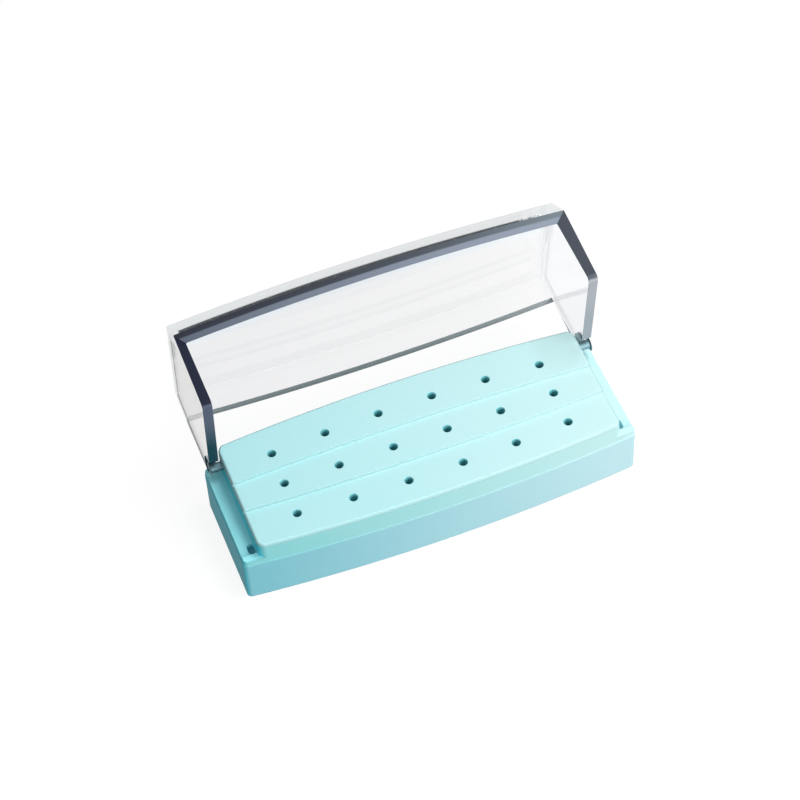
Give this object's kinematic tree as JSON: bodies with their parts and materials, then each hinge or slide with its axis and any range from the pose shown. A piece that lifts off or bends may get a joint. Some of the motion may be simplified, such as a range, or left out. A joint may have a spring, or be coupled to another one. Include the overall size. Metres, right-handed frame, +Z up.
{
  "type": "bur box",
  "caption": "Stepped plastic bur block with socket rows and a clear flip-over hood hinged on two short pins at its ends.",
  "frame": {"origin": "centre of the block's flat underside", "axes": "+X along the socket rows to the right, +Y towards the hinge at the back, +Z up"},
  "size_m": [0.0872, 0.0493, 0.0459],
  "materials": {
    "block_plastic": "moulded satin",
    "clear_plastic": "clear polished",
    "pin_steel": "plain ground"
  },
  "bodies": {
    "block": {"bur_block": "block_plastic", "hinge_pin_left": "pin_steel", "hinge_pin_right": "pin_steel"},
    "hood": {"flip_cover": "clear_plastic"}
  },
  "joints": [
    {"name": "hood_hinge", "type": "hinge", "parent": "block", "child": "hood", "pos_m": [0, 0.01005, 0.01555], "axis": [1, 0, 0], "range_deg": [0, 83]}
  ]
}
